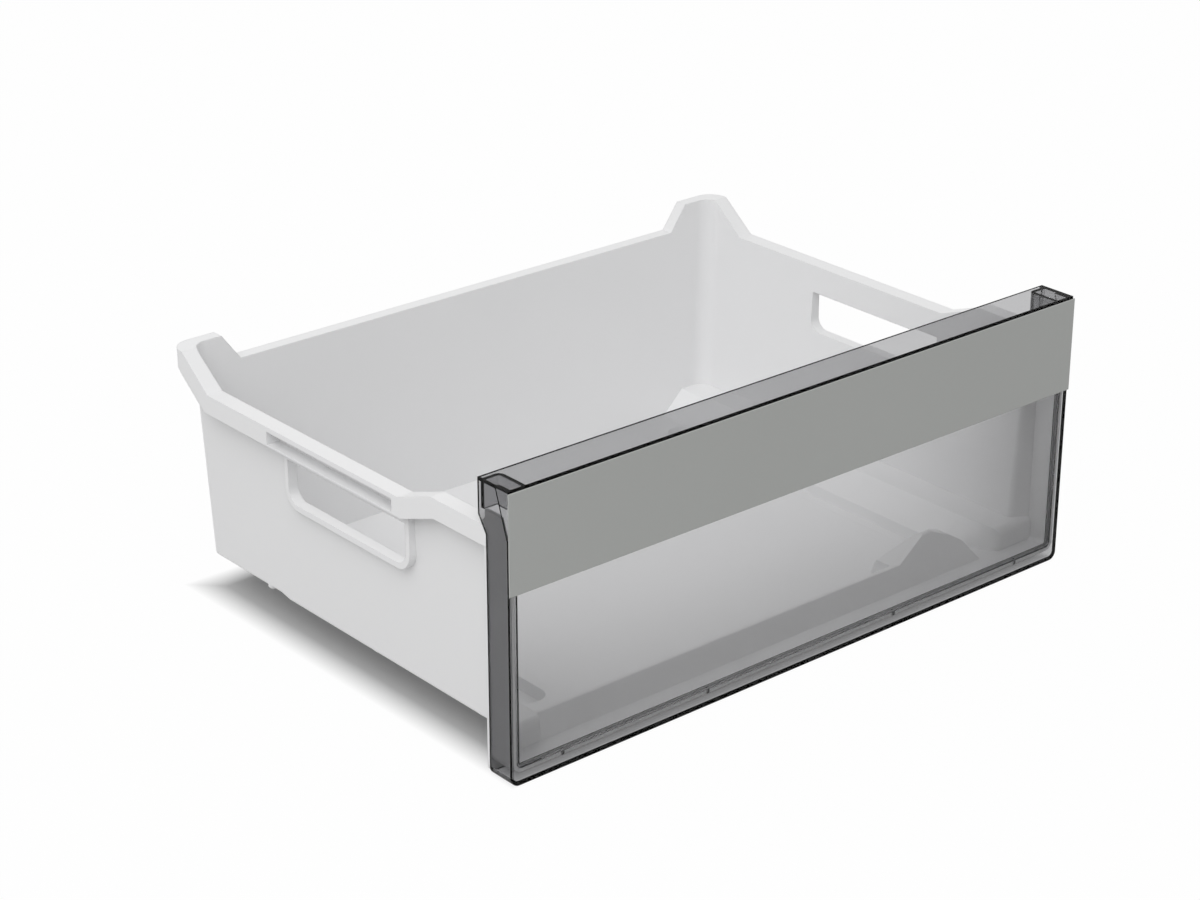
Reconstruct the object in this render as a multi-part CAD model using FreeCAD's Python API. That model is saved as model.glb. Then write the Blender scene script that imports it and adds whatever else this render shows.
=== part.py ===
import FreeCAD, Part
import math
import os

# Freezer drawer: a white moulded tub, open at the front, with a smoked window panel
# pushed over its front sleeve and a grey strip taped across the top of the window.
# Sizes are in millimetres. X runs across the drawer, Y from the front to the back and
# Z up from the surface that the drawer stands on. All places are first measured from
# the strip's face (Y = 0), and the origin is put under the middle of the box at the end.

# Front strip and its tape
strip_overhang = 0.5
strip_height = 60.4
strip_top_gap = 1.3
strip_thickness = 0.6
strip_edge = 0.3
tape_thickness = 0.2
tape_height = 12.0
tape_inset = 9.0

# Window panel
panel_width = 444.0
panel_height = 178.5
panel_corner = 5.5
panel_edge = 0.8
pane_thickness = 3.0
panel_wall = 2.2
panel_bottom_wall = 2.5
panel_top_wall = 2.5
panel_top_depth = 26.0
panel_skirt_depth = 19.5
cheek_height = 21.5
cheek_slope = 10.0
pocket_length = 13.0
pocket_depth = 21.4
pocket_height = 15.2
pocket_wall = 2.8
pocket_corner = 4.0
gusset_depth = 9.4
gusset_height = 28.0
gusset_thickness = 1.6
gusset_clearance = 0.4
ring_depth = 3.0
ring_thickness = 1.4
ring_clearance = 0.35
tooth_inset = 37.5
tooth_spacing = 108.5
tooth_width = 1.6
tooth_reach = 1.6
tooth_clearance = 0.3
panel_clearance = 0.4
nose_clearance = 0.3

# Tub walls
wall = 2.2
bin_inset = 11.0
bin_depth = 320.8
bin_corner = 10.0
side_draft = 2.6
back_draft = 1.0

# Rim along the sides and the front, measured down from the window panel's top, and the
# back and the rear horns, measured up from the side rim
rim_drop = 37.5
front_rim_drop = 26.6
back_rim_rise = 2.6
horn_rise = 20.2
step_start = 69.0
step_end = 99.4
horn_run = 26.0
horn_length = 14.5
horn_back_run = 13.0
horn_width = 32.5

# Rim and its hanging lip
rim_reach = 8.8
back_rim_reach = 6.5
rim_thickness = 2.4
rim_corner = 13.0
lip_thickness = 2.0
lip_height = 12.7

# Hand-holes and the finger grooves above them
hole_front = 101.1
hole_back = 215.0
hole_drop = 18.4
hole_height = 27.0
hole_corner = 8.5
collar_width = 3.9
collar_reach = 3.0
groove_front = 105.3
groove_back = 227.0
groove_height = 8.1
shelf_thickness = 1.3

# Side ledges, floor and runners
ledge_height = 24.2
ledge_width = 26.5
ledge_front_round = 5.0
ledge_turn = 1.5
ledge_turn_length = 32.0
joggle_height = 1.8
joggle_length = 88.8
joggle_run = 9.0
floor_height = 9.3
floor_inset = 42.4
runner_width = 19.6
runner_front = 57.0
runner_back_gap = 24.8
runner_corner = 9.0
runner_taper = 1.6
nub_front = 47.5
nub_middle = 146.0
nub_back_gap = 66.8
nub_radius = 3.2
nub_tip_radius = 1.8
nub_height = 1.5

# Front sleeve, flange and sill
flange_thickness = 2.4
flange_inset = 0.4
flange_bottom = 0.8
sleeve_corner = 6.0
flare_run = 6.2
flare_round = 5.0
sill_rise = 11.7
sill_slope = 50.0
sill_crest = 3.2
sill_round = 1.4
sill_overrun = 1.4
hump_length = 66.0
hump_crest_length = 34.0
hump_crest_inset = 27.0
hump_shoulder_inset = 15.0
hump_end_inset = 7.0
hump_rise = 21.2
hump_shoulder_rise = 16.7
hump_crest = 4.2
hump_round = 3.0
ear_foot = 4.0

# Places worked out from the sizes above
strip_width = panel_width + 2 * strip_overhang
strip_top = panel_height - strip_top_gap
pane_front = strip_thickness + tape_thickness
pane_back = pane_front + pane_thickness
panel_back = pane_front + panel_top_depth
skirt_back = pane_front + panel_skirt_depth
flange_back = skirt_back + flange_thickness
sleeve_front = pane_back + nose_clearance
sleeve_half_width = panel_width / 2 - panel_wall - panel_clearance
sleeve_inner = sleeve_half_width - wall
flare_back = flange_back + flare_run
bin_half_width = panel_width / 2 - bin_inset
wall_outside = bin_half_width + wall
rim_half_width = wall_outside + rim_reach
rim_back = bin_depth + wall + back_rim_reach
horn_top = rim_back - horn_length
horn_foot = horn_top - horn_run
horn_back_top = rim_half_width - horn_width
horn_back_foot = horn_back_top - horn_back_run
ledge_inner = bin_half_width - ledge_width
ledge_turn_end = skirt_back + ledge_turn_length
joggle_start = bin_depth - joggle_length
floor_half_width = bin_half_width - floor_inset
runner_back = bin_depth - runner_back_gap
nub_places = (nub_front, nub_middle, bin_depth - nub_back_gap)
sill_end = floor_half_width + sill_overrun
hump_start = sill_end - hump_length
hump_end = sill_end - hump_end_inset
tooth_outer = panel_width / 2 - tooth_inset
tooth_places = (tooth_outer - tooth_spacing, tooth_outer)
rim_height = panel_height - rim_drop
front_rim_height = panel_height - front_rim_drop
back_rim_height = rim_height + back_rim_rise
horn_height = rim_height + horn_rise
hole_top = rim_height - hole_drop
hole_bottom = hole_top - hole_height
cheek_bottom = panel_height - cheek_height
pocket_bottom = panel_height - panel_top_wall - pocket_height
ear_top = pocket_bottom - panel_clearance
above = horn_height + 20
below = -20.0
aside = panel_width
behind = rim_back + 50


def vec(x, y, z):
    return FreeCAD.Vector(x, y, z)


def prism_across(points, x_from, x_to):
    """Solid with a side profile of (y, z) points, drawn out along X."""
    wire = Part.makePolygon([vec(x_from, y, z) for y, z in points + points[:1]])
    return Part.Face(wire).extrude(vec(x_to - x_from, 0, 0))


def prism_along(points, y_from, y_to):
    """Solid with a front profile of (x, z) points, drawn out along Y."""
    wire = Part.makePolygon([vec(x, y_from, z) for x, z in points + points[:1]])
    return Part.Face(wire).extrude(vec(0, y_to - y_from, 0))


def box(x_from, x_to, y_from, y_to, z_from, z_to):
    corner = vec(x_from, y_from, z_from)
    return Part.makeBox(x_to - x_from, y_to - y_from, z_to - z_from, corner)


def rounded_outline(x_from, x_to, y_from, y_to, radii, z):
    """Closed outline at height z; the radii go round from the front left corner."""
    corners = [(x_from, y_from), (x_to, y_from), (x_to, y_to), (x_from, y_to)]
    comings = [(0, 1), (-1, 0), (0, -1), (1, 0)]
    goings = [(1, 0), (0, 1), (-1, 0), (0, -1)]
    points = []
    edges = []
    for (x, y), coming, going, radius in zip(corners, comings, goings, radii):
        first = vec(x + coming[0] * radius, y + coming[1] * radius, z)
        last = vec(x + going[0] * radius, y + going[1] * radius, z)
        if points:
            edges.append(Part.makeLine(points[-1], first))
        if radius > 0:
            bow = radius * (1 - math.sqrt(0.5))
            middle = vec(x + (coming[0] + going[0]) * bow, y + (coming[1] + going[1]) * bow, z)
            edges.append(Part.Arc(first, middle, last).toShape())
        points += [first, last]
    edges.append(Part.makeLine(points[-1], points[0]))
    return Part.Wire(edges)


def slab(x_from, x_to, y_from, y_to, radii, z_from, z_to):
    """Level block with rounded corners in plan."""
    outline = rounded_outline(x_from, x_to, y_from, y_to, radii, z_from)
    return Part.Face(outline).extrude(vec(0, 0, z_to - z_from))


def upright_slab(half_width, z_from, z_to, bottom_radius, y_from, y_to):
    """Block across the drawer whose lower corners are rounded in the front view."""
    radii = (bottom_radius, bottom_radius, 0, 0)
    block = slab(-half_width, half_width, z_from, z_to, radii, -y_to, -y_from)
    block.rotate(vec(0, 0, 0), vec(1, 0, 0), 90)
    return block


def both_sides(shape):
    return shape.fuse(shape.mirror(vec(0, 0, 0), vec(1, 0, 0)))


def fuse_all(shapes):
    return shapes[0].multiFuse(shapes[1:])


def edges_where(shape, test):
    return [edge for edge in shape.Edges if test(edge)]


def lies(edge, **limits):
    """True if the edge's box lies within 0.01 of the given x, y or z values."""
    spans = {
        "x": (edge.BoundBox.XMin, edge.BoundBox.XMax),
        "y": (edge.BoundBox.YMin, edge.BoundBox.YMax),
        "z": (edge.BoundBox.ZMin, edge.BoundBox.ZMax),
    }
    return all(
        abs(spans[axis][0] - value) < 0.01 and abs(spans[axis][1] - value) < 0.01
        for axis, value in limits.items()
    )


def bin_half_width_at(z):
    return bin_half_width - (rim_height - z) * math.tan(math.radians(side_draft))


def bin_back_at(z):
    return bin_depth - (back_rim_height - z) * math.tan(math.radians(back_draft))


def frustum(low, high):
    """Solid with flat faces between two outlines that go round against the clock."""
    count = len(low)
    rings = [low[::-1], high]
    for i in range(count):
        j = (i + 1) % count
        rings.append([low[i], low[j], high[j], high[i]])
    faces = [Part.Face(Part.makePolygon(ring + ring[:1])) for ring in rings]
    return Part.Solid(Part.Shell(faces))


def drafted_bin(grow, z_from, z_to):
    """The bin's tapered inside, or with grow its outside, between two heights."""
    rings = []
    for z in (z_from, z_to):
        half = bin_half_width_at(z) + grow
        back = bin_back_at(z) + grow
        corners = [(-half, skirt_back), (half, skirt_back), (half, back), (-half, back)]
        rings.append([vec(x, y, z) for x, y in corners])
    block = frustum(*rings)
    middle = (skirt_back + bin_depth) / 2
    rear = edges_where(
        block,
        lambda edge: edge.BoundBox.YMin > middle and edge.BoundBox.ZLength > (z_to - z_from) / 2,
    )
    return block.makeFillet(bin_corner + grow, rear)


def mouth_flare(grow, z_from, z_to):
    """Where the side walls widen to the sleeve, inside or with grow outside."""
    widening = sleeve_inner - bin_half_width_at(floor_height)
    shift = slope_shift(flare_run, widening, grow)
    right = [
        (sleeve_inner + grow, skirt_back),
        (sleeve_inner + grow, flange_back + shift),
        (sleeve_inner + grow - 2 * widening, flange_back + shift + 2 * flare_run),
    ]
    left = [(-x, y) for x, y in reversed(right)]
    points = [vec(x, y, z_from) for x, y in right + left]
    face = Part.Face(Part.makePolygon(points + points[:1]))
    return face.extrude(vec(0, 0, z_to - z_from))


def widening_bin(grow, z_from, z_to):
    """The bin together with its flared mouth, rounded where the two meet."""
    block = drafted_bin(grow, z_from, z_to).fuse(mouth_flare(grow, z_from, z_to))
    bends = edges_where(
        block,
        lambda edge: edge.BoundBox.ZLength > (z_to - z_from) / 2
        and flange_back + flare_run / 2 < edge.BoundBox.YMax < flare_back + flare_run,
    )
    return block.makeFillet(flare_round - grow, bends)


def slope_shift(run, rise, drop):
    """How far both ends of a sloping edge move along when it is set off by drop."""
    return drop * math.tan(math.atan2(rise, run) / 2)


def under_rim(drop):
    """Everything lower than the rim's top, or than a line set off from it by drop."""
    horn = slope_shift(horn_top - horn_foot, horn_height - rim_height, drop)
    step = slope_shift(step_end - step_start, front_rim_height - rim_height, drop)
    back = slope_shift(horn_back_top - horn_back_foot, horn_height - back_rim_height, drop)
    side_profile = [
        (below, below),
        (behind, below),
        (behind, horn_height - drop),
        (horn_top + horn, horn_height - drop),
        (horn_foot + horn, rim_height - drop),
        (step_end - step, rim_height - drop),
        (step_start - step, front_rim_height - drop),
        (below, front_rim_height - drop),
    ]
    back_profile = [
        (-aside, below),
        (aside, below),
        (aside, horn_height - drop),
        (horn_back_top + back, horn_height - drop),
        (horn_back_foot + back, back_rim_height - drop),
        (-horn_back_foot - back, back_rim_height - drop),
        (-horn_back_top - back, horn_height - drop),
        (-aside, horn_height - drop),
    ]
    side = prism_across(side_profile, -aside, aside)
    return side.common(prism_along(back_profile, below, behind))


def rim_plan(shrink, y_from, z_from):
    half = rim_half_width - shrink
    corner = rim_corner - shrink
    radii = (0, 0, corner, corner)
    return slab(-half, half, y_from, rim_back - shrink, radii, z_from, above)


def make_rim():
    """Level rim with its hanging lip, along the step, the horns and the back."""
    low = rim_height - 2 * lip_height
    block = rim_plan(0, skirt_back, low).common(under_rim(0)).cut(under_rim(lip_height))
    hollow = rim_plan(lip_thickness, flange_back, low).common(under_rim(rim_thickness))
    return block.cut(hollow)


def ledge(grow, front):
    """Raised side ledge with its slope down to the floor, or with grow its hollow."""
    run = ledge_inner - floor_half_width
    rise = ledge_height - floor_height
    offset = grow * math.hypot(run, rise) / rise
    high = ledge_height + joggle_height + 5
    slope_low = floor_half_width + (below - floor_height) * run / rise + offset
    slope_high = floor_half_width + (high - floor_height) * run / rise + offset
    upright = ledge_inner + ledge_turn + grow
    top = ledge_height - grow
    sections = [
        [(x_low, y, below), (aside, y, below), (aside, y, high), (x_high, y, high)]
        for y, x_low, x_high in (
            (skirt_back, upright, upright),
            (ledge_turn_end, slope_low, slope_high),
        )
    ]
    wires = [Part.makePolygon([vec(*point) for point in s + s[:1]]) for s in sections]
    across = Part.Face(wires[1]).extrude(vec(0, behind, 0))
    across = across.fuse(Part.makeLoft(wires, True, True))
    along = prism_across(
        [
            (front, below),
            (behind, below),
            (behind, top + joggle_height),
            (joggle_start + joggle_run, top + joggle_height),
            (joggle_start, top),
            (front, top),
        ],
        0,
        aside,
    )
    return across.common(along)


def rounded_ledge():
    solid = ledge(0, skirt_back)
    inner = ledge_inner + ledge_turn
    edges = edges_where(
        solid,
        lambda edge: lies(edge, y=skirt_back, z=ledge_height)
        or lies(edge, y=skirt_back, x=inner),
    )
    return solid.makeFillet(ledge_front_round, edges)


def runner(grow):
    """Long foot pressed down from the floor, seen from above as a groove."""
    outlines = []
    bottom = wall - grow
    for z, inset in ((floor_height, 0), (bottom, runner_taper)):
        x_from = floor_half_width - runner_width + inset - grow
        x_to = floor_half_width - inset + grow
        y_from = runner_front + inset - grow
        y_to = runner_back - inset + grow
        corner = min(runner_corner, runner_width * 0.48) - inset + grow
        outlines.append(rounded_outline(x_from, x_to, y_from, y_to, (corner,) * 4, z))
    return Part.makeLoft(outlines, True, True)


def sill_profile(rise, crest_width, back_run, shrink):
    """Side profile of the rib behind the window, or with shrink of its hollow."""
    half_angle = math.tan(math.radians(sill_slope / 2))
    slope = math.tan(math.radians(sill_slope))
    foot = skirt_back + shrink * half_angle
    base = floor_height - shrink
    crest = base + rise
    crest_front = foot + rise / slope
    crest_back = crest_front + crest_width - 2 * shrink * half_angle
    deep = base - wall
    return [
        (foot - wall / slope, deep),
        (crest_front, crest),
        (crest_back, crest),
        (crest_back + back_run + back_run * wall / rise, deep),
    ]


def sill(shrink):
    """Low rib across the floor behind the window, with a hump on one side."""
    slope = math.tan(math.radians(sill_slope))
    base = floor_height - shrink
    low_profile = sill_profile(sill_rise, sill_crest, sill_rise / slope, shrink)
    hump_profile = sill_profile(hump_rise, hump_crest, hump_rise / slope / 2, shrink)
    end = sill_end - shrink
    low_outline = [
        (-aside, base - wall),
        (end + (sill_end - hump_end) * wall / sill_rise, base - wall),
        (hump_end - shrink, base + sill_rise),
        (hump_end - shrink, base + hump_rise),
        (-aside, base + hump_rise),
    ]
    hump_outline = [
        (hump_start + shrink, base),
        (hump_start + shrink, base + sill_rise - sill_round),
        (sill_end - hump_crest_length + shrink, base + hump_rise),
        (sill_end - hump_crest_inset - shrink / 2, base + hump_rise),
        (sill_end - hump_shoulder_inset - shrink, base + hump_shoulder_rise),
        (hump_end - shrink, base + sill_rise),
        (end, base),
    ]
    low = prism_across(low_profile, -aside / 2, sill_end)
    low = low.common(prism_along(low_outline, below, behind))
    hump = prism_across(hump_profile, hump_start, sill_end)
    hump = hump.common(prism_along(hump_outline, below, behind))
    return low, hump


def rounded_sill():
    low, hump = sill(0)
    crest = floor_height + sill_rise
    low = low.makeFillet(sill_round, edges_where(low, lambda edge: lies(edge, z=crest)))
    top = floor_height + hump_rise
    hump = hump.makeFillet(hump_round, edges_where(hump, lambda edge: lies(edge, z=top)))
    return low.fuse(hump)


def side_slab(y_from, y_to, z_from, z_to, bottom_radius, x_from, x_to):
    """Block through the side wall whose lower corners are rounded in the side view."""
    radii = (bottom_radius, bottom_radius, 0, 0)
    block = slab(y_from, y_to, z_from, z_to, radii, x_from, x_to)
    block.rotate(vec(0, 0, 0), vec(1, 1, 1), 120)
    return block


def hand_hole(grow, x_from, x_to):
    return side_slab(
        hole_front - grow,
        hole_back + grow,
        hole_bottom - grow,
        hole_top + grow,
        hole_corner + grow,
        x_from,
        x_to,
    )


def finger_groove(z_from, z_to, ends, x_from, x_to):
    return box(x_from, x_to, groove_front - ends, groove_back + ends, z_from, z_to)


def glide_nub(y):
    """Round nub under the outer edge of the ledge, with a tapered tip."""
    base = ledge_height - wall
    x = bin_half_width_at(ledge_height) + wall - nub_radius
    post = Part.makeCylinder(nub_radius, joggle_height + wall / 2, vec(x, y, base))
    tip = Part.makeCone(nub_tip_radius, nub_radius, nub_height, vec(x, y, base - nub_height))
    return post.fuse(tip)


def sleeve_ear():
    """Part of the sleeve's side that stands above the rim, under the panel's pocket."""
    base = front_rim_height - rim_thickness
    return prism_across(
        [
            (sleeve_front, base - wall),
            (sleeve_front, ear_top),
            (flange_back, ear_top),
            (flange_back, front_rim_height + ear_foot),
            (flange_back + ear_foot + rim_thickness, base),
            (flange_back, base - wall),
        ],
        sleeve_inner,
        sleeve_half_width,
    )


def make_cavity():
    """Everything that is open inside the tub, from the sleeve to the back wall."""
    open_bin = widening_bin(0, floor_height, above + 1)
    mouth = upright_slab(
        sleeve_inner, floor_height, above + 1, sleeve_corner - wall, below, flange_back
    )
    cavity = open_bin.fuse(mouth).cut(both_sides(rounded_ledge()))
    cavity = cavity.cut(rounded_sill())
    return cavity.fuse(both_sides(runner(0)))


def make_tub():
    """The tub's outside with its rim, flange and sleeve, less its cavity."""
    body = widening_bin(wall, floor_height - wall, above)
    body = body.common(under_rim(rim_thickness / 2))
    body = body.cut(both_sides(ledge(wall, flange_back)))
    for hollow in sill(wall):
        body = body.cut(hollow)
    flange = upright_slab(
        panel_width / 2 - flange_inset,
        flange_bottom,
        front_rim_height - rim_thickness / 2,
        panel_corner - flange_inset,
        skirt_back,
        flange_back,
    )
    sleeve = upright_slab(
        sleeve_half_width,
        floor_height - wall,
        front_rim_height - rim_thickness,
        sleeve_corner,
        sleeve_front,
        flange_back,
    )
    shelf_bottom = rim_height - lip_height
    groove_bottom = shelf_bottom + shelf_thickness
    right = [
        runner(wall),
        hand_hole(collar_width, bin_half_width - wall, wall_outside + collar_reach),
        finger_groove(
            shelf_bottom,
            rim_height - rim_thickness / 2,
            shelf_thickness,
            bin_half_width,
            rim_half_width,
        ),
        sleeve_ear(),
    ]
    right += [glide_nub(y) for y in nub_places]
    pieces = [body, flange, sleeve, make_rim()]
    pieces += [both_sides(piece) for piece in right]
    tub = fuse_all(pieces)
    cuts = [
        hand_hole(0, bin_half_width_at(below), aside),
        finger_groove(groove_bottom, groove_bottom + groove_height, 0, wall_outside, aside),
        cheek(panel_clearance, sleeve_half_width, aside),
        gusset(gusset_clearance, sleeve_inner - wall, sleeve_half_width + wall),
    ]
    for place in tooth_places:
        cuts.append(panel_tooth(place, tooth_clearance))
    tub = tub.cut(make_cavity())
    for piece in cuts:
        tub = tub.cut(both_sides(piece))
    return tub


def cheek(grow, x_from, x_to):
    """Panel's side wall where it reaches back over the tub's front corner."""
    return prism_across(
        [
            (panel_back + grow, panel_height + grow),
            (panel_back + grow, cheek_bottom - grow / 2),
            (skirt_back, cheek_bottom - cheek_slope - grow),
            (pane_front, cheek_bottom - cheek_slope - grow),
            (pane_front, panel_height + grow),
        ],
        x_from,
        x_to,
    )


def locating_ring():
    """Low rib on the back of the pane, just inside the mouth of the tub's sleeve."""
    block = None
    for inset in (ring_clearance, ring_clearance + ring_thickness):
        layer = upright_slab(
            sleeve_inner - inset,
            floor_height + inset,
            front_rim_height - rim_thickness,
            sleeve_corner - wall - inset,
            pane_back - pane_thickness / 2,
            pane_back + ring_depth,
        )
        block = block.cut(layer) if block else layer
    return block


def panel_tooth(place, grow):
    """Tooth under the ring that stands in a notch of the tub's sleeve."""
    return box(
        place - tooth_width / 2 - grow,
        place + tooth_width / 2 + grow,
        pane_back - pane_thickness / 2,
        pane_back + tooth_reach + grow,
        floor_height - wall - grow,
        floor_height + ring_clearance + ring_thickness / 2,
    )


def panel_pocket():
    """Hanging pocket at the end of the handle, open downwards."""
    outer = panel_width / 2 - panel_wall / 2
    inner = outer - pocket_length
    top = panel_height - panel_top_wall / 2
    back = pane_back + pocket_depth
    front = pane_back - pane_thickness / 2
    corner = (0, 0, 0, pocket_corner)
    shell = slab(inner, outer, front, back, corner, pocket_bottom, top)
    corner = (0, 0, 0, pocket_corner - pocket_wall)
    hollow = slab(
        inner + pocket_wall,
        outer + panel_wall,
        pane_back,
        back - pocket_wall,
        corner,
        pocket_bottom - pocket_wall,
        panel_height - panel_top_wall,
    )
    return shell.cut(hollow)


def gusset(grow, x_from, x_to):
    """Slanting rib between the pane and the top wall, or with grow its room."""
    top = panel_height - panel_top_wall
    front = pane_back - pane_thickness / 2
    back = pane_back + gusset_depth + grow
    bottom = top - gusset_height - grow
    return prism_across(
        [
            (front, top + panel_top_wall / 2),
            (back, top + panel_top_wall / 2),
            (back, top),
            (pane_back + grow, bottom),
            (front, bottom),
        ],
        x_from,
        x_to,
    )


def panel_gusset():
    """The slanting rib beside the panel's side wall."""
    outer = panel_width / 2 - panel_wall / 2
    return gusset(0, outer - panel_wall / 2 - gusset_thickness, outer)


def make_panel():
    """Smoked panel: pane, side walls, bottom wall and a handle along its top."""
    half = panel_width / 2
    block = upright_slab(half, 0, panel_height, panel_corner, pane_front, panel_back)
    front = edges_where(block, lambda edge: lies(edge, y=pane_front))
    block = block.makeFillet(panel_edge, front)
    profile = prism_across(
        [
            (below, below),
            (skirt_back, below),
            (skirt_back, cheek_bottom - cheek_slope),
            (panel_back, cheek_bottom),
            (panel_back, above),
            (below, above),
        ],
        -aside,
        aside,
    )
    block = block.common(profile)
    hollow = upright_slab(
        half - panel_wall,
        panel_bottom_wall,
        panel_height - panel_top_wall,
        panel_corner - panel_wall,
        pane_back,
        behind,
    )
    block = block.cut(hollow)
    right = [panel_pocket(), panel_gusset()] + [panel_tooth(x, 0) for x in tooth_places]
    return fuse_all([block, locating_ring()] + [both_sides(piece) for piece in right])


def make_strip():
    """Grey strip with bevelled front edges."""
    bottom = strip_top - strip_height
    strip = box(-strip_width / 2, strip_width / 2, 0, strip_thickness, bottom, strip_top)
    return strip.makeChamfer(strip_edge, edges_where(strip, lambda edge: lies(edge, y=0)))


def make_tape():
    """Two bands of double-sided tape between the strip and the pane."""
    half = panel_width / 2 - tape_inset
    low = strip_top - strip_height + tape_inset / 2
    high = strip_top - tape_inset / 2 - tape_height
    bands = [
        box(-half, half, strip_thickness, pane_front, z, z + tape_height) for z in (low, high)
    ]
    return Part.makeCompound(bands)


def main():
    os.makedirs("parts", exist_ok=True)
    nodes = {
        "storage_tub": make_tub(),
        "window_panel": make_panel(),
        "trim_strip": make_strip(),
        "mounting_tape": make_tape(),
    }
    for name, shape in nodes.items():
        shape.translate(vec(0, -rim_back / 2, 0))
        shape.exportStep(f"parts/{name}.step")
        print(name, len(shape.Solids), "solids", round(shape.Volume / 1000, 1), "cm3")


main()
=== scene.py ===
import math
import bpy
import bmesh
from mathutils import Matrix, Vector


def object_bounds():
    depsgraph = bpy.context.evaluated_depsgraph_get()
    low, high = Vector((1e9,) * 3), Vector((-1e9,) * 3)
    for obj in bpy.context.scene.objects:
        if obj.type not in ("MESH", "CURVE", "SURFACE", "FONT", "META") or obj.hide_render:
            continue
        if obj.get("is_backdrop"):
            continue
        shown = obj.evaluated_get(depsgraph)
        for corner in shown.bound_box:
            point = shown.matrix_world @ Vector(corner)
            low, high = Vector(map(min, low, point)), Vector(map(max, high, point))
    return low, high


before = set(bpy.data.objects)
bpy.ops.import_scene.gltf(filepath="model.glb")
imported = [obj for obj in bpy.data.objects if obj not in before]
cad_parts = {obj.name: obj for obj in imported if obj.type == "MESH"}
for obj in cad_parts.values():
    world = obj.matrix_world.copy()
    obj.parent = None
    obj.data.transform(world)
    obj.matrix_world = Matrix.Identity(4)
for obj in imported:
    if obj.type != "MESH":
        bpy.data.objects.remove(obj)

boxLow, boxHigh = (list(corner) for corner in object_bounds())  # the frame's own box
print("frame loaded:", ", ".join(sorted(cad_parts)))

white = (1.0, 1.0, 1.0, 1.0)


# A shader socket that can stand in a sum, a difference or a product

class Wire:
    def __init__(self, maker, socket):
        self.maker = maker
        self.socket = socket

    def combine(self, operation, first, second):
        return self.maker.add("ShaderNodeMath", {"operation": operation}, {0: first, 1: second})

    def __add__(self, other):
        return self.combine("ADD", self, other)

    def __radd__(self, other):
        return self.combine("ADD", other, self)

    def __sub__(self, other):
        return self.combine("SUBTRACT", self, other)

    def __rsub__(self, other):
        return self.combine("SUBTRACT", other, self)

    def __mul__(self, other):
        return self.combine("MULTIPLY", self, other)

    def __rmul__(self, other):
        return self.combine("MULTIPLY", other, self)

    def __abs__(self):
        return self.maker.add("ShaderNodeMath", {"operation": "ABSOLUTE"}, {0: self})

    def atMost(self, other):
        return self.combine("MINIMUM", self, other)

    def atLeast(self, other):
        return self.combine("MAXIMUM", self, other)


# Builds the nodes of one material or of the world

class Maker:
    def __init__(self, owner):
        owner.use_nodes = True
        self.owner = owner
        self.tree = owner.node_tree
        self.tree.nodes.clear()

    def node(self, kind, settings=None, inputs=None):
        node = self.tree.nodes.new(kind)
        for key, value in (settings or {}).items():
            setattr(node, key, value)
        for key, value in (inputs or {}).items():
            if isinstance(value, Wire):
                self.tree.links.new(value.socket, node.inputs[key])
            else:
                node.inputs[key].default_value = value
        return node

    def add(self, kind, settings=None, inputs=None, output=0):
        return Wire(self, self.node(kind, settings, inputs).outputs[output])

    def close(self, kind, ends):
        self.node(kind, {}, ends)
        return self.owner

    def place(self):  # object coordinates in metres
        return self.add("ShaderNodeTexCoord", output="Object")

    def axes(self):  # the same, as x, y and z
        split = self.node("ShaderNodeSeparateXYZ", {}, {0: self.place()})
        return [Wire(self, output) for output in split.outputs]

    def noise(self, scale, detail, roughness=0.5):
        return self.add("ShaderNodeTexNoise", {}, {
            "Vector": self.place(), "Scale": scale, "Detail": detail, "Roughness": roughness})

    def spread(self, value, low, high, toLow=0.0, toHigh=1.0):  # value from low..high to toLow..toHigh
        return self.add("ShaderNodeMapRange", {"clamp": True}, {
            "Value": value, "From Min": low, "From Max": high, "To Min": toLow, "To Max": toHigh})

    def blendColour(self, factor, first, second):
        inputs = {0: factor, 6: first, 7: second}
        return self.add("ShaderNodeMix", {"data_type": "RGBA"}, inputs, output=2)

    def mixShaders(self, factor, first, second):
        return self.add("ShaderNodeMixShader", {}, {0: factor, 1: first, 2: second})

    def softEdge(self, radius):  # small moulded round on every edge
        return self.add("ShaderNodeBevel", {"samples": 6}, {"Radius": radius})

    def bump(self, height, strength, distance, normal=None):
        inputs = {"Height": height, "Strength": strength, "Distance": distance}
        if normal:
            inputs["Normal"] = normal
        return self.add("ShaderNodeBump", {}, inputs)


# Tub: white moulded plastic with a fine satin grain

tub = {
    "colour": (0.880, 0.880, 0.885, 1.0),
    "shade": (0.860, 0.861, 0.866, 1.0),
    "flow": {"scale": 5.0, "detail": 3.0},  # slow change from the colour to the shade
    "flowSpan": (0.3, 0.7),
    "haze": {"scale": 38.0, "detail": 4.0, "roughness": 0.6},
    "hazeSpan": (0.3, 0.7),
    "roughness": (0.31, 0.37),
    "grain": {"scale": 1400.0, "detail": 2.0, "roughness": 0.6},
    "grainStrength": 0.25,
    "grainDepth": 0.00002,
    "edgeRadius": 0.0009,
    "ior": 1.49,
    "specular": 0.45,
}


def makeTubPlastic():
    m = Maker(bpy.data.materials.new("whiteTub"))
    flow = m.spread(m.noise(**tub["flow"]), *tub["flowSpan"])
    grain = m.noise(**tub["grain"])
    surface = m.add("ShaderNodeBsdfPrincipled", {}, {
        "Base Color": m.blendColour(flow, tub["shade"], tub["colour"]),
        "Roughness": m.spread(m.noise(**tub["haze"]), *tub["hazeSpan"], *tub["roughness"]),
        "Normal": m.bump(grain, tub["grainStrength"], tub["grainDepth"], m.softEdge(tub["edgeRadius"])),
        "IOR": tub["ior"],
        "Specular IOR Level": tub["specular"],
    })
    return m.close("ShaderNodeOutputMaterial", {"Surface": surface})


# Window: clear plastic, smoked through its thickness, with painted shade on its top, bottom and side
# walls

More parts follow.
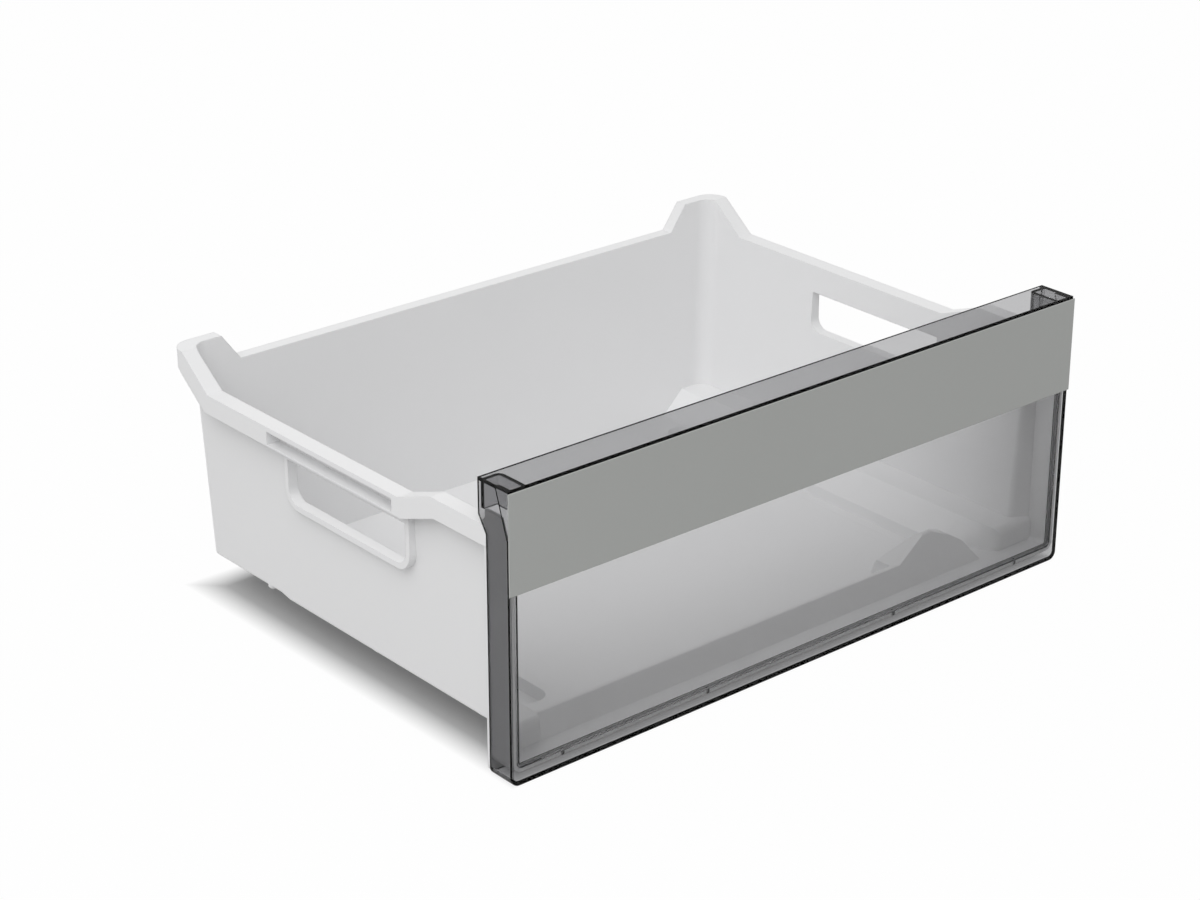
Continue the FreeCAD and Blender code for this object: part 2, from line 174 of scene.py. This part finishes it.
window = {
    "pane": (0.98, 0.98, 0.98, 1.0),
    "wall": (0.77, 0.77, 0.775, 1.0),  # painted shade: top, bottom and side walls are tinted darker than the pane, for the shade they show
    "paneBack": 0.0042,  # from the front of the drawer to just behind the pane
    "rim": 0.002,  # from the drawer's outline to where the painted wall shade gives way to the pane's own tint
    "blur": 0.0003,
    "smoke": (0.50, 0.50, 0.51, 1.0),
    "density": 135.0,
    "haze": {"scale": 24.0, "detail": 4.0, "roughness": 0.55},
    "hazeSpan": (0.35, 0.75),
    "roughness": (0.015, 0.05),
    "wave": {"scale": 9.0, "detail": 2.0},
    "waveStrength": 0.06,
    "waveDepth": 0.0005,
    "clearRoughness": 0.02,
    "ior": 1.49,
    "shine": 0.25,  # share of the shader that also reflects
}


def makeUnshadedPaneMask(m):  # 1 on the pane's two faces, 0 on its rim and on the walls behind it, which get the painted shade
    x, y, z = m.axes()
    middle = (boxLow[2] + boxHigh[2]) / 2
    behind = y - (boxLow[1] + window["paneBack"])
    beside = abs(x) - (boxHigh[0] - window["rim"])
    above = abs(z - middle) - (boxHigh[2] - middle - window["rim"])
    return m.spread(behind.atLeast(beside).atLeast(above), 0.0, window["blur"], 1.0, 0.0)


def makeWindowPlastic():
    m = Maker(bpy.data.materials.new("smokedWindow"))
    unshadedPaneMask = makeUnshadedPaneMask(m)
    normal = m.bump(m.noise(**window["wave"]), window["waveStrength"], window["waveDepth"])
    # painted shade: the glossy shader's base colour is darker on the walls than on the pane
    glossy = m.add("ShaderNodeBsdfPrincipled", {}, {
        "Base Color": m.blendColour(unshadedPaneMask, window["wall"], window["pane"]),
        "Roughness": m.spread(m.noise(**window["haze"]), *window["hazeSpan"], *window["roughness"]),
        "IOR": window["ior"],
        "Transmission Weight": 1.0,
        "Normal": normal,
    })
    # painted shade: light passing through the walls is tinted darker than light through the pane
    clearShadedWall, clearPane = (
        m.add("ShaderNodeBsdfRefraction", {}, {
            "Color": window[part],
            "Roughness": window["clearRoughness"],
            "IOR": window["ior"],
            "Normal": normal,
        })
        for part in ("wall", "pane")
    )
    clear = m.mixShaders(unshadedPaneMask, clearShadedWall, clearPane)
    smoke = m.add("ShaderNodeVolumeAbsorption", {}, {
        "Color": window["smoke"], "Density": window["density"]})
    return m.close("ShaderNodeOutputMaterial", {
        "Surface": m.mixShaders(window["shine"], clear, glossy), "Volume": smoke})


# Strip: matte silver grey paint

strip = {
    "colour": (0.432, 0.442, 0.429, 1.0),
    "fleckColour": (0.457, 0.467, 0.454, 1.0),
    "fleck": {"scale": 2600.0, "detail": 1.0},
    "fleckSpan": (0.45, 0.75),
    "fleckShare": 0.6,
    "flow": {"scale": 7.0, "detail": 2.0},
    "flowSpan": (0.3, 0.7),
    "flowShare": 0.3,
    "roughSpan": (0.2, 0.8),
    "roughness": (0.5, 0.6),
    "fleckStrength": 0.15,
    "fleckDepth": 0.00001,
    "edgeRadius": 0.0003,
    "specular": 0.3,
}


def makeStripPaint():
    m = Maker(bpy.data.materials.new("greyStrip"))
    fleck = m.noise(**strip["fleck"])
    flow = m.noise(**strip["flow"])
    mask = (strip["fleckShare"] * m.spread(fleck, *strip["fleckSpan"])
            + strip["flowShare"] * m.spread(flow, *strip["flowSpan"]))
    edge = m.softEdge(strip["edgeRadius"])
    surface = m.add("ShaderNodeBsdfPrincipled", {}, {
        "Base Color": m.blendColour(mask, strip["colour"], strip["fleckColour"]),
        "Roughness": m.spread(fleck, *strip["roughSpan"], *strip["roughness"]),
        "Normal": m.bump(fleck, strip["fleckStrength"], strip["fleckDepth"], edge),
        "Specular IOR Level": strip["specular"],
    })
    return m.close("ShaderNodeOutputMaterial", {"Surface": surface})


# Tape behind the strip: grey foam

tape = {
    "colour": (0.30, 0.30, 0.30, 1.0),
    "poreColour": (0.42, 0.42, 0.42, 1.0),
    "pore": {"scale": 1800.0, "detail": 3.0},
    "poreSpan": (0.4, 0.6),
    "poreStrength": 0.4,
    "poreDepth": 0.0001,
    "roughness": 0.85,
}


def makeTapeFoam():
    m = Maker(bpy.data.materials.new("foamTape"))
    pore = m.noise(**tape["pore"])
    mask = m.spread(pore, *tape["poreSpan"])
    surface = m.add("ShaderNodeBsdfPrincipled", {}, {
        "Base Color": m.blendColour(mask, tape["colour"], tape["poreColour"]),
        "Roughness": tape["roughness"],
        "Normal": m.bump(pore, tape["poreStrength"], tape["poreDepth"]),
    })
    return m.close("ShaderNodeOutputMaterial", {"Surface": surface})


finishes = {
    "storage_tub": makeTubPlastic(),
    "window_panel": makeWindowPlastic(),
    "trim_strip": makeStripPaint(),
    "mounting_tape": makeTapeFoam(),
}
for name, material in finishes.items():
    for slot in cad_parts[name].material_slots:
        slot.material = material
print("finishes set")


# Floor, light and camera

stage = {
    "size": 9.0,
    "floor": (0.52, 0.52, 0.52, 1.0),
    "white": 0.985,  # how white the floor is where it is seen directly
    "gap": 0.0002,  # between the drawer's feet and the floor
    "soft": 0.02,  # width of the change from the drawer's shadow to the white floor
}
light = {
    "sky": 0.62,
    "key": 28.0,
    "keySize": 1.8,
    "keyPlace": (-1.5, -0.85, 2.0),
    "keyAim": (0.0, 0.0, 0.1),
}
view = {
    "place": (-1.056784, -1.221263, 0.797832),
    "azimuth": -40.33,
    "elevation": 23.854,
    "lens": 85.355,
    "sensor": 36.0,
    "farEnd": 20.0,
}


def seenDirectly(m):  # 1 where the camera, a reflection or the window shows the background
    camera, glossy, through, bounces = (
        m.add("ShaderNodeLightPath", output=name)
        for name in ("Is Camera Ray", "Is Glossy Ray", "Is Transmission Ray", "Diffuse Depth")
    )
    return (camera + glossy + through).atMost(1.0) * (1 - bounces.atMost(1.0))


def makeOpenFloor(m):  # 0 under the drawer, 1 away from it, so its own shadow stays below it
    across, along = m.axes()[:2]
    beside = m.spread(abs(across), boxHigh[0] - stage["soft"], boxHigh[0])
    behind = m.spread(abs(along), boxHigh[1] - stage["soft"], boxHigh[1])
    return beside.atLeast(behind)


def makeFloorPaint():
    m = Maker(bpy.data.materials.new("paleFloor"))
    matte = m.add("ShaderNodeBsdfDiffuse", {}, {"Color": stage["floor"]})
    glow = m.add("ShaderNodeEmission", {}, {"Color": white, "Strength": 1.0})
    seen = seenDirectly(m) * stage["white"] * makeOpenFloor(m)
    return m.close("ShaderNodeOutputMaterial", {"Surface": m.mixShaders(seen, matte, glow)})


def makeFloor():
    bm = bmesh.new()
    bmesh.ops.create_grid(bm, x_segments=1, y_segments=1, size=stage["size"] / 2)
    bmesh.ops.translate(bm, verts=bm.verts, vec=(0.0, 0.0, boxLow[2] - stage["gap"]))
    mesh = bpy.data.meshes.new("floor")
    bm.to_mesh(mesh)
    bm.free()
    mesh.materials.append(makeFloorPaint())
    floor = bpy.data.objects.new("floor", mesh)
    bpy.context.scene.collection.objects.link(floor)
    floor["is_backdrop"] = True


def makeSky():
    m = Maker(bpy.data.worlds.new("paleRoom"))
    strength = m.spread(seenDirectly(m), 0.0, 1.0, light["sky"], 1.0)
    glow = m.add("ShaderNodeBackground", {}, {"Color": white, "Strength": strength})
    bpy.context.scene.world = m.close("ShaderNodeOutputWorld", {"Surface": glow})


def makeKeyLamp():
    data = bpy.data.lights.new("keyLamp", "AREA")
    data.shape = "SQUARE"
    data.size = light["keySize"]
    data.energy = light["key"]
    lamp = bpy.data.objects.new("keyLamp", data)
    lamp.location = light["keyPlace"]
    aim = Vector(light["keyAim"]) - lamp.location
    lamp.rotation_euler = aim.to_track_quat("-Z", "Y").to_euler()
    bpy.context.scene.collection.objects.link(lamp)


def makeCamera():
    data = bpy.data.cameras.new("photoView")
    data.lens = view["lens"]
    data.sensor_width = view["sensor"]
    data.sensor_fit = "HORIZONTAL"
    data.clip_end = view["farEnd"]
    camera = bpy.data.objects.new("photoView", data)
    camera.location = view["place"]
    tilt = math.radians(90.0 - view["elevation"])
    camera.rotation_euler = (tilt, 0.0, math.radians(view["azimuth"]))
    bpy.context.scene.collection.objects.link(camera)
    bpy.context.scene.camera = camera


makeFloor()
makeSky()
makeKeyLamp()
makeCamera()
bpy.context.scene.view_settings.view_transform = "Standard"
print("floor, light and camera set")
